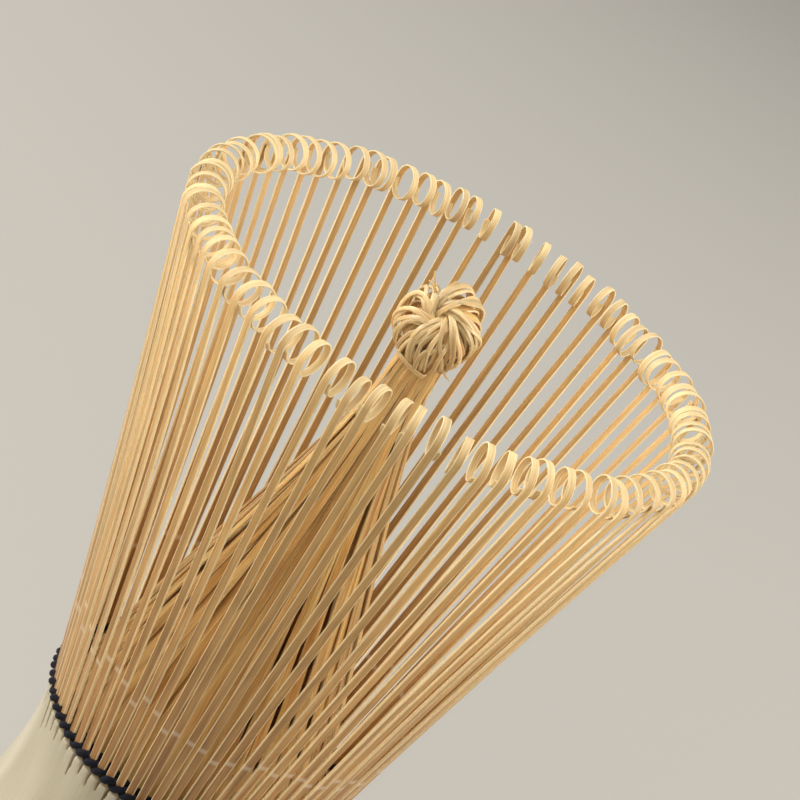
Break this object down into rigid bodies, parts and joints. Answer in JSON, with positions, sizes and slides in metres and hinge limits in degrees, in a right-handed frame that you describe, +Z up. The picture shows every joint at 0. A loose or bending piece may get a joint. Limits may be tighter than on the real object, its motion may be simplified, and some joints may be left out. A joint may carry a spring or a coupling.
{
  "type": "bamboo tea whisk",
  "caption": "Upright bamboo whisk: flared outer tines ending in curled loops, inner tines gathered in a central knot, dark thread at the roots, hollow culm handle.",
  "frame": {"origin": "middle of the cut end of the handle, on the surface it stands on", "axes": "+Z up the culm from the handle to the tine tips; +X through the first split of tines"},
  "size_m": [0.0534, 0.0534, 0.1102],
  "materials": {
    "bamboo_skin": "smooth pale culm skin, satin, fine length grain",
    "outer_tine_bamboo": "split bamboo, satin face, paler cut edges",
    "inner_tine_bamboo": "thin shaved bamboo, satin to glossy",
    "binding_thread": "twisted cotton thread, matte"
  },
  "bodies": {
    "handle": {"handle": "bamboo_skin", "thread_outer_strand": "binding_thread", "thread_inner_strand": "binding_thread"},
    "outer_split_01": {"outer_tines_01": "outer_tine_bamboo"},
    "inner_split_01": {"inner_tines_01": "inner_tine_bamboo"},
    "outer_split_02": {"outer_tines_02": "outer_tine_bamboo"},
    "inner_split_02": {"inner_tines_02": "inner_tine_bamboo"},
    "outer_split_03": {"outer_tines_03": "outer_tine_bamboo"},
    "inner_split_03": {"inner_tines_03": "inner_tine_bamboo"},
    "outer_split_04": {"outer_tines_04": "outer_tine_bamboo"},
    "inner_split_04": {"inner_tines_04": "inner_tine_bamboo"},
    "outer_split_05": {"outer_tines_05": "outer_tine_bamboo"},
    "inner_split_05": {"inner_tines_05": "inner_tine_bamboo"},
    "outer_split_06": {"outer_tines_06": "outer_tine_bamboo"},
    "inner_split_06": {"inner_tines_06": "inner_tine_bamboo"},
    "outer_split_07": {"outer_tines_07": "outer_tine_bamboo"},
    "inner_split_07": {"inner_tines_07": "inner_tine_bamboo"},
    "outer_split_08": {"outer_tines_08": "outer_tine_bamboo"},
    "inner_split_08": {"inner_tines_08": "inner_tine_bamboo"},
    "outer_split_09": {"outer_tines_09": "outer_tine_bamboo"},
    "inner_split_09": {"inner_tines_09": "inner_tine_bamboo"},
    "outer_split_10": {"outer_tines_10": "outer_tine_bamboo"},
    "inner_split_10": {"inner_tines_10": "inner_tine_bamboo"},
    "outer_split_11": {"outer_tines_11": "outer_tine_bamboo"},
    "inner_split_11": {"inner_tines_11": "inner_tine_bamboo"},
    "outer_split_12": {"outer_tines_12": "outer_tine_bamboo"},
    "inner_split_12": {"inner_tines_12": "inner_tine_bamboo"},
    "outer_split_13": {"outer_tines_13": "outer_tine_bamboo"},
    "inner_split_13": {"inner_tines_13": "inner_tine_bamboo"},
    "outer_split_14": {"outer_tines_14": "outer_tine_bamboo"},
    "inner_split_14": {"inner_tines_14": "inner_tine_bamboo"},
    "outer_split_15": {"outer_tines_15": "outer_tine_bamboo"},
    "inner_split_15": {"inner_tines_15": "inner_tine_bamboo"},
    "outer_split_16": {"outer_tines_16": "outer_tine_bamboo"},
    "inner_split_16": {"inner_tines_16": "inner_tine_bamboo"}
  },
  "joints": [
    {"name": "outer_flex_01", "type": "hinge", "parent": "handle", "child": "outer_split_01", "pos_m": [0.0154, 0, 0.0571], "axis": [0, 1, 0], "range_deg": [-2.5, 6], "stiffness_Nm_per_rad": 0.012},
    {"name": "inner_flex_01", "type": "hinge", "parent": "handle", "child": "inner_split_01", "pos_m": [0.0134, 0, 0.0571], "axis": [0, 1, 0], "range_deg": [0, 4], "stiffness_Nm_per_rad": 0.006},
    {"name": "outer_flex_02", "type": "hinge", "parent": "handle", "child": "outer_split_02", "pos_m": [0.01423, 0.00589, 0.0571], "axis": [-0.3827, 0.9239, 0], "range_deg": [-2.5, 6], "stiffness_Nm_per_rad": 0.012},
    {"name": "inner_flex_02", "type": "hinge", "parent": "handle", "child": "inner_split_02", "pos_m": [0.01238, 0.00513, 0.0571], "axis": [-0.3827, 0.9239, 0], "range_deg": [0, 4], "stiffness_Nm_per_rad": 0.006},
    {"name": "outer_flex_03", "type": "hinge", "parent": "handle", "child": "outer_split_03", "pos_m": [0.01089, 0.01089, 0.0571], "axis": [-0.7071, 0.7071, 0], "range_deg": [-2.5, 6], "stiffness_Nm_per_rad": 0.012},
    {"name": "inner_flex_03", "type": "hinge", "parent": "handle", "child": "inner_split_03", "pos_m": [0.00948, 0.00948, 0.0571], "axis": [-0.7071, 0.7071, 0], "range_deg": [0, 4], "stiffness_Nm_per_rad": 0.006},
    {"name": "outer_flex_04", "type": "hinge", "parent": "handle", "child": "outer_split_04", "pos_m": [0.00589, 0.01423, 0.0571], "axis": [-0.9239, 0.3827, 0], "range_deg": [-2.5, 6], "stiffness_Nm_per_rad": 0.012},
    {"name": "inner_flex_04", "type": "hinge", "parent": "handle", "child": "inner_split_04", "pos_m": [0.00513, 0.01238, 0.0571], "axis": [-0.9239, 0.3827, 0], "range_deg": [0, 4], "stiffness_Nm_per_rad": 0.006},
    {"name": "outer_flex_05", "type": "hinge", "parent": "handle", "child": "outer_split_05", "pos_m": [0, 0.0154, 0.0571], "axis": [-1, 0, 0], "range_deg": [-2.5, 6], "stiffness_Nm_per_rad": 0.012},
    {"name": "inner_flex_05", "type": "hinge", "parent": "handle", "child": "inner_split_05", "pos_m": [0, 0.0134, 0.0571], "axis": [-1, 0, 0], "range_deg": [0, 4], "stiffness_Nm_per_rad": 0.006},
    {"name": "outer_flex_06", "type": "hinge", "parent": "handle", "child": "outer_split_06", "pos_m": [-0.00589, 0.01423, 0.0571], "axis": [-0.9239, -0.3827, 0], "range_deg": [-2.5, 6], "stiffness_Nm_per_rad": 0.012},
    {"name": "inner_flex_06", "type": "hinge", "parent": "handle", "child": "inner_split_06", "pos_m": [-0.00513, 0.01238, 0.0571], "axis": [-0.9239, -0.3827, 0], "range_deg": [0, 4], "stiffness_Nm_per_rad": 0.006},
    {"name": "outer_flex_07", "type": "hinge", "parent": "handle", "child": "outer_split_07", "pos_m": [-0.01089, 0.01089, 0.0571], "axis": [-0.7071, -0.7071, 0], "range_deg": [-2.5, 6], "stiffness_Nm_per_rad": 0.012},
    {"name": "inner_flex_07", "type": "hinge", "parent": "handle", "child": "inner_split_07", "pos_m": [-0.00948, 0.00948, 0.0571], "axis": [-0.7071, -0.7071, 0], "range_deg": [0, 4], "stiffness_Nm_per_rad": 0.006},
    {"name": "outer_flex_08", "type": "hinge", "parent": "handle", "child": "outer_split_08", "pos_m": [-0.01423, 0.00589, 0.0571], "axis": [-0.3827, -0.9239, 0], "range_deg": [-2.5, 6], "stiffness_Nm_per_rad": 0.012},
    {"name": "inner_flex_08", "type": "hinge", "parent": "handle", "child": "inner_split_08", "pos_m": [-0.01238, 0.00513, 0.0571], "axis": [-0.3827, -0.9239, 0], "range_deg": [0, 4], "stiffness_Nm_per_rad": 0.006},
    {"name": "outer_flex_09", "type": "hinge", "parent": "handle", "child": "outer_split_09", "pos_m": [-0.0154, 0, 0.0571], "axis": [0, -1, 0], "range_deg": [-2.5, 6], "stiffness_Nm_per_rad": 0.012},
    {"name": "inner_flex_09", "type": "hinge", "parent": "handle", "child": "inner_split_09", "pos_m": [-0.0134, 0, 0.0571], "axis": [0, -1, 0], "range_deg": [0, 4], "stiffness_Nm_per_rad": 0.006},
    {"name": "outer_flex_10", "type": "hinge", "parent": "handle", "child": "outer_split_10", "pos_m": [-0.01423, -0.00589, 0.0571], "axis": [0.3827, -0.9239, 0], "range_deg": [-2.5, 6], "stiffness_Nm_per_rad": 0.012},
    {"name": "inner_flex_10", "type": "hinge", "parent": "handle", "child": "inner_split_10", "pos_m": [-0.01238, -0.00513, 0.0571], "axis": [0.3827, -0.9239, 0], "range_deg": [0, 4], "stiffness_Nm_per_rad": 0.006},
    {"name": "outer_flex_11", "type": "hinge", "parent": "handle", "child": "outer_split_11", "pos_m": [-0.01089, -0.01089, 0.0571], "axis": [0.7071, -0.7071, 0], "range_deg": [-2.5, 6], "stiffness_Nm_per_rad": 0.012},
    {"name": "inner_flex_11", "type": "hinge", "parent": "handle", "child": "inner_split_11", "pos_m": [-0.00948, -0.00948, 0.0571], "axis": [0.7071, -0.7071, 0], "range_deg": [0, 4], "stiffness_Nm_per_rad": 0.006},
    {"name": "outer_flex_12", "type": "hinge", "parent": "handle", "child": "outer_split_12", "pos_m": [-0.00589, -0.01423, 0.0571], "axis": [0.9239, -0.3827, 0], "range_deg": [-2.5, 6], "stiffness_Nm_per_rad": 0.012},
    {"name": "inner_flex_12", "type": "hinge", "parent": "handle", "child": "inner_split_12", "pos_m": [-0.00513, -0.01238, 0.0571], "axis": [0.9239, -0.3827, 0], "range_deg": [0, 4], "stiffness_Nm_per_rad": 0.006},
    {"name": "outer_flex_13", "type": "hinge", "parent": "handle", "child": "outer_split_13", "pos_m": [0, -0.0154, 0.0571], "axis": [1, 0, 0], "range_deg": [-2.5, 6], "stiffness_Nm_per_rad": 0.012},
    {"name": "inner_flex_13", "type": "hinge", "parent": "handle", "child": "inner_split_13", "pos_m": [0, -0.0134, 0.0571], "axis": [1, 0, 0], "range_deg": [0, 4], "stiffness_Nm_per_rad": 0.006},
    {"name": "outer_flex_14", "type": "hinge", "parent": "handle", "child": "outer_split_14", "pos_m": [0.00589, -0.01423, 0.0571], "axis": [0.9239, 0.3827, 0], "range_deg": [-2.5, 6], "stiffness_Nm_per_rad": 0.012},
    {"name": "inner_flex_14", "type": "hinge", "parent": "handle", "child": "inner_split_14", "pos_m": [0.00513, -0.01238, 0.0571], "axis": [0.9239, 0.3827, 0], "range_deg": [0, 4], "stiffness_Nm_per_rad": 0.006},
    {"name": "outer_flex_15", "type": "hinge", "parent": "handle", "child": "outer_split_15", "pos_m": [0.01089, -0.01089, 0.0571], "axis": [0.7071, 0.7071, 0], "range_deg": [-2.5, 6], "stiffness_Nm_per_rad": 0.012},
    {"name": "inner_flex_15", "type": "hinge", "parent": "handle", "child": "inner_split_15", "pos_m": [0.00948, -0.00948, 0.0571], "axis": [0.7071, 0.7071, 0], "range_deg": [0, 4], "stiffness_Nm_per_rad": 0.006},
    {"name": "outer_flex_16", "type": "hinge", "parent": "handle", "child": "outer_split_16", "pos_m": [0.01423, -0.00589, 0.0571], "axis": [0.3827, 0.9239, 0], "range_deg": [-2.5, 6], "stiffness_Nm_per_rad": 0.012},
    {"name": "inner_flex_16", "type": "hinge", "parent": "handle", "child": "inner_split_16", "pos_m": [0.01238, -0.00513, 0.0571], "axis": [0.3827, 0.9239, 0], "range_deg": [0, 4], "stiffness_Nm_per_rad": 0.006}
  ]
}
